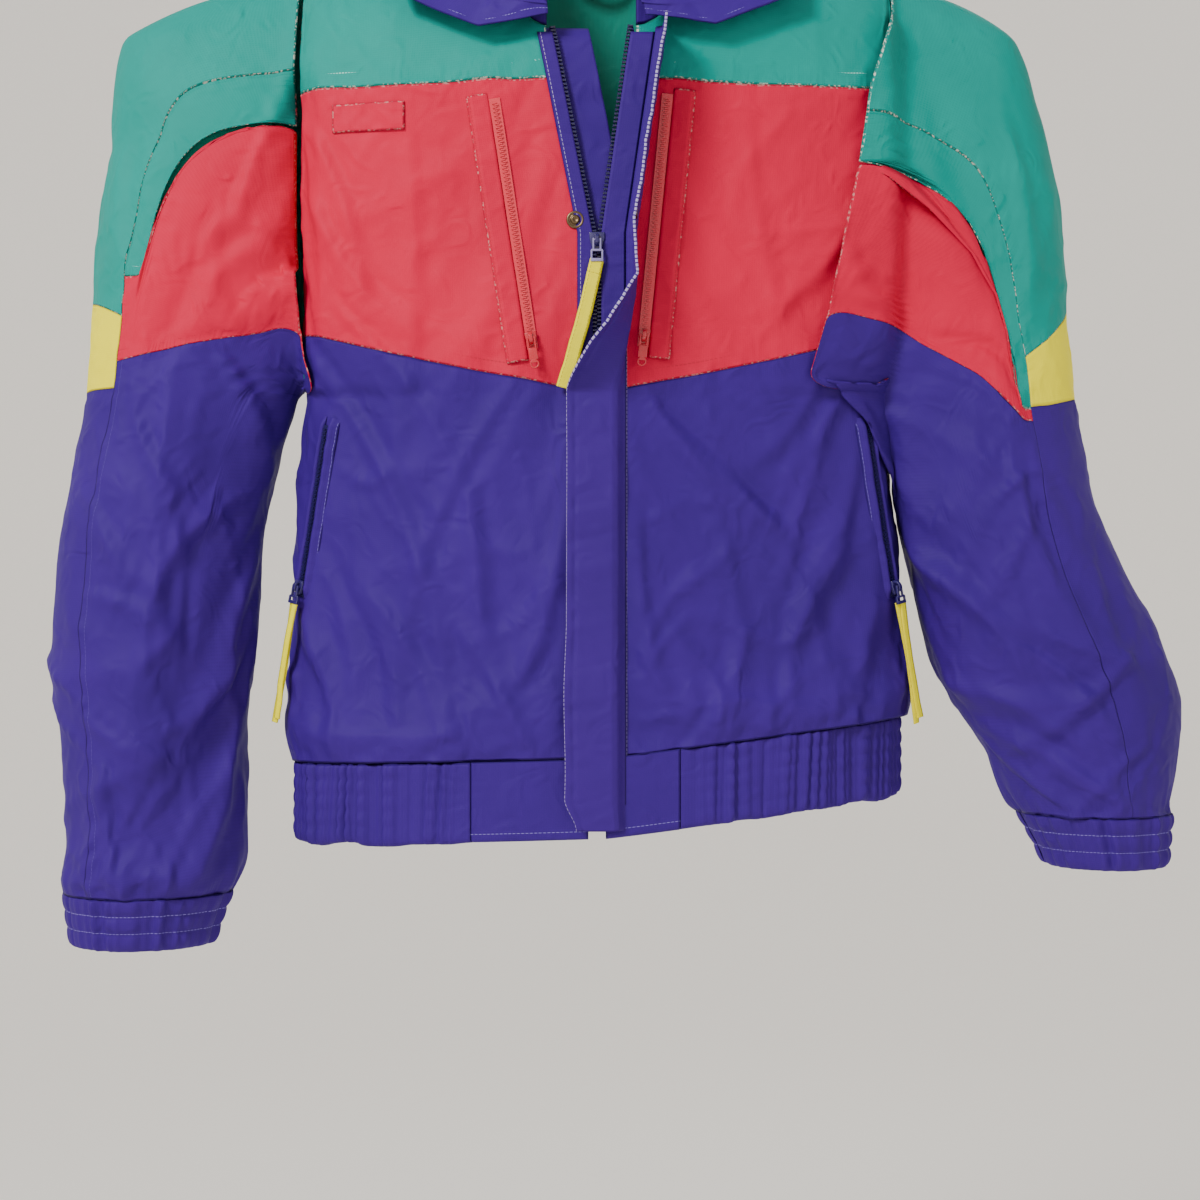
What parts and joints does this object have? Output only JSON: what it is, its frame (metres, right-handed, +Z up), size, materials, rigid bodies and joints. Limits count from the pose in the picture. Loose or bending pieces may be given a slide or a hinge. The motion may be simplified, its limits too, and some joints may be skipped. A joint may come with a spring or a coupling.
{
  "type": "ski jacket",
  "caption": "Padded blouson ski jacket with contrast yoke, chevron chest, storm flap, zip pockets and elastic hem and cuffs, hanging partly unzipped.",
  "frame": {"origin": "in the gap of the hanger loop inside the back neck", "axes": "+Z up, -Y is the jacket's front, +X towards the wearer's left"},
  "size_m": [0.8756, 0.2378, 0.8762],
  "materials": {
    "teal_shell": "satin crisp nylon",
    "red_shell": "satin crisp nylon",
    "purple_shell": "satin crisp nylon",
    "yellow_shell": "satin crisp nylon",
    "padding": "loose fibre",
    "teal_lining": "smooth taffeta",
    "elastic": "knitted",
    "yellow_webbing": "woven webbing",
    "zipper_teeth": "moulded",
    "painted_zinc": "gloss paint",
    "red_zinc": "gloss paint",
    "antique_brass": "dark antique"
  },
  "bodies": {
    "jacket_body": {"right_front_yoke": "teal_shell", "left_front_yoke": "teal_shell", "right_chest_panel": "red_shell", "left_chest_panel": "red_shell", "right_lower_front": "purple_shell", "left_lower_front": "purple_shell", "back_yoke": "teal_shell", "back_mid_panel": "red_shell", "back_lower_panel": "purple_shell", "torso_insulation": "padding", "torso_lining": "teal_lining", "right_hem_tab": "purple_shell", "left_hem_tab": "purple_shell", "hem_band": "purple_shell", "hem_elastic": "elastic", "collar_stand": "purple_shell", "collar_fall": "purple_shell", "wind_guard": "purple_shell", "right_zipper_tape": "purple_shell", "left_zipper_tape": "purple_shell", "right_zipper_teeth": "zipper_teeth", "left_zipper_teeth": "zipper_teeth", "zipper_bottom_box": "painted_zinc", "snap_studs": "antique_brass", "right_chest_welt": "red_shell", "left_chest_welt": "red_shell", "chest_pocket_zips": "zipper_teeth", "side_pocket_zips": "zipper_teeth", "pocket_bags": "teal_lining", "hanger_loop": "purple_shell", "label_patch": "red_shell"},
    "right_sleeve": {"right_sleeve_cap": "teal_shell", "right_sleeve_front_panel": "red_shell", "right_sleeve_band": "yellow_shell", "right_lower_sleeve": "purple_shell", "right_sleeve_insulation": "padding", "right_sleeve_lining": "teal_lining", "right_cuff": "purple_shell", "right_cuff_elastic": "elastic"},
    "left_sleeve": {"left_sleeve_cap": "teal_shell", "left_sleeve_front_panel": "red_shell", "left_sleeve_band": "yellow_shell", "left_lower_sleeve": "purple_shell", "left_sleeve_insulation": "padding", "left_sleeve_lining": "teal_lining", "left_cuff": "purple_shell", "left_cuff_elastic": "elastic"},
    "storm_flap": {"storm_flap": "purple_shell", "snap_sockets": "antique_brass"},
    "main_slider": {"main_slider": "painted_zinc"},
    "main_pull": {"main_puller": "painted_zinc", "main_webbing": "yellow_webbing"},
    "right_chest_slider": {"right_chest_slider": "red_zinc"},
    "right_chest_puller": {"right_chest_puller": "red_zinc"},
    "right_side_slider": {"right_side_slider": "painted_zinc"},
    "right_side_pull": {"right_side_pull": "yellow_webbing"},
    "left_chest_slider": {"left_chest_slider": "red_zinc"},
    "left_chest_puller": {"left_chest_puller": "red_zinc"},
    "left_side_slider": {"left_side_slider": "painted_zinc"},
    "left_side_pull": {"left_side_pull": "yellow_webbing"}
  },
  "joints": [
    {"name": "right_sleeve_swing", "type": "hinge", "parent": "jacket_body", "child": "right_sleeve", "pos_m": [-0.24175, -0.05, -0.014], "axis": [0, 1, 0], "range_deg": [0, 30]},
    {"name": "left_sleeve_swing", "type": "hinge", "parent": "jacket_body", "child": "left_sleeve", "pos_m": [0.24175, -0.05, -0.014], "axis": [0, -1, 0], "range_deg": [0, 30]},
    {"name": "storm_flap_open", "type": "hinge", "parent": "jacket_body", "child": "storm_flap", "pos_m": [0.053, -0.153, -0.4], "axis": [0, 0, 1], "range_deg": [0, 16]},
    {"name": "main_slider_run", "type": "slide", "parent": "jacket_body", "child": "main_slider", "axis": [0, 0, 1], "range_m": [-0.4, 0]},
    {"name": "main_pull_lift", "type": "hinge", "parent": "main_slider", "child": "main_pull", "pos_m": [0, -0.1555, -0.2463], "axis": [-1, 0, 0], "range_deg": [0, 150]},
    {"name": "right_chest_slider_run", "type": "slide", "parent": "jacket_body", "child": "right_chest_slider", "axis": [-0.1521, 0.0003, 0.9884], "range_m": [0, 0.165]},
    {"name": "right_chest_puller_lift", "type": "hinge", "parent": "right_chest_slider", "child": "right_chest_puller", "pos_m": [-0.05147, -0.15694, -0.32292], "axis": [-0.988, 0.0287, -0.152], "range_deg": [0, 150]},
    {"name": "right_side_slider_run", "type": "slide", "parent": "jacket_body", "child": "right_side_slider", "axis": [0.1662, -0.0974, 0.9813], "range_m": [0, 0.115]},
    {"name": "right_side_pull_lift", "type": "hinge", "parent": "right_side_slider", "child": "right_side_pull", "pos_m": [-0.24299, -0.1006, -0.51555], "axis": [-0.7221, 0.6657, 0.1884], "range_deg": [0, 120]},
    {"name": "left_chest_slider_run", "type": "slide", "parent": "jacket_body", "child": "left_chest_slider", "axis": [0.0974, -0.0002, 0.9952], "range_m": [0, 0.08]},
    {"name": "left_chest_puller_lift", "type": "hinge", "parent": "left_chest_slider", "child": "left_chest_puller", "pos_m": [0.03666, -0.15737, -0.32094], "axis": [-0.9951, -0.018, 0.0973], "range_deg": [0, 45]},
    {"name": "left_side_slider_run", "type": "slide", "parent": "jacket_body", "child": "left_side_slider", "axis": [-0.1662, -0.0974, 0.9813], "range_m": [0, 0.115]},
    {"name": "left_side_pull_lift", "type": "hinge", "parent": "left_side_slider", "child": "left_side_pull", "pos_m": [0.24299, -0.1006, -0.51555], "axis": [-0.7221, -0.6657, -0.1884], "range_deg": [0, 120]}
  ]
}
